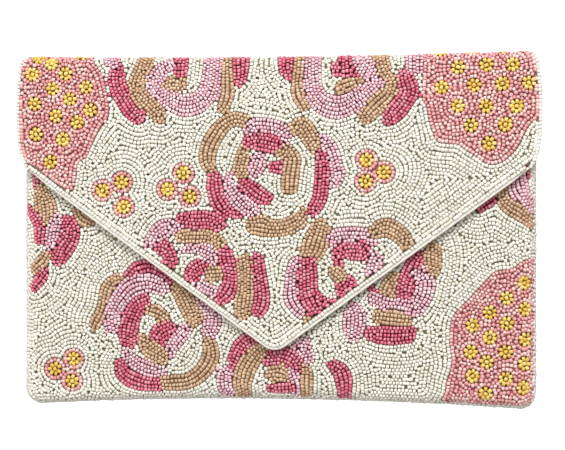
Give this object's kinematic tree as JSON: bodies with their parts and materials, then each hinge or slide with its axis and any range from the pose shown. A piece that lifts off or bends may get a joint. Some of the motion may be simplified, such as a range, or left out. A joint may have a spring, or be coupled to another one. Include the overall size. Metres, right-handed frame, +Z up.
{
  "type": "clutch purse",
  "caption": "Beaded envelope clutch with a pointed flap that folds over a flat lined pouch and holds shut with a hidden magnetic snap.",
  "frame": {"origin": "on the floor under the middle of the bag, halfway through its thickness", "axes": "+Z up from the bottom edge to the fold, +Y out of the back panel, the flap faces -Y, +X to the right seen from the front"},
  "size_m": [0.26, 0.0238, 0.175],
  "materials": {
    "seed_beads": "opaque glossy glass seed beads",
    "backing_cloth": "plain-woven cotton dyed to the bead colours",
    "interlining": "matt needled felt",
    "lining_satin": "soft satin sheen",
    "piping_satin": "satin binding over a cord",
    "snap_plate": "pale gold plate, lightly brushed",
    "magnet": "dark sintered magnet"
  },
  "bodies": {
    "pouch": {"back_beads": "seed_beads", "back_cloth": "backing_cloth", "back_interlining": "interlining", "back_lining": "lining_satin", "front_beads": "seed_beads", "front_cloth": "backing_cloth", "front_interlining": "interlining", "front_lining": "lining_satin", "mouth_binding": "lining_satin", "slip_pocket": "lining_satin", "pocket_hem": "lining_satin", "snap_socket_shell": "snap_plate", "snap_magnet": "magnet", "snap_socket_prongs": "snap_plate", "snap_socket_washer": "snap_plate", "socket_patch": "interlining"},
    "spine": {"spine_beads": "seed_beads", "spine_cloth": "backing_cloth", "spine_interlining": "interlining", "spine_lining": "lining_satin"},
    "flap": {"flap_beads": "seed_beads", "flap_cloth": "backing_cloth", "flap_stiffener": "interlining", "flap_facing": "lining_satin", "flap_edge_beads": "seed_beads", "flap_piping": "piping_satin", "snap_stud": "snap_plate", "snap_stud_prongs": "snap_plate", "snap_stud_washer": "snap_plate", "stud_patch": "interlining"}
  },
  "joints": [
    {"name": "back_fold", "type": "hinge", "parent": "pouch", "child": "spine", "pos_m": [0, 0.01083, 0.17393], "axis": [-1, 0, 0], "range_deg": [0, 90]},
    {"name": "front_fold", "type": "hinge", "parent": "spine", "child": "flap", "pos_m": [0, -0.01083, 0.17393], "axis": [-1, 0, 0], "range_deg": [0, 90]}
  ],
  "couplings": [
    {"joint": "front_fold", "follows": "back_fold", "ratio": 1}
  ]
}
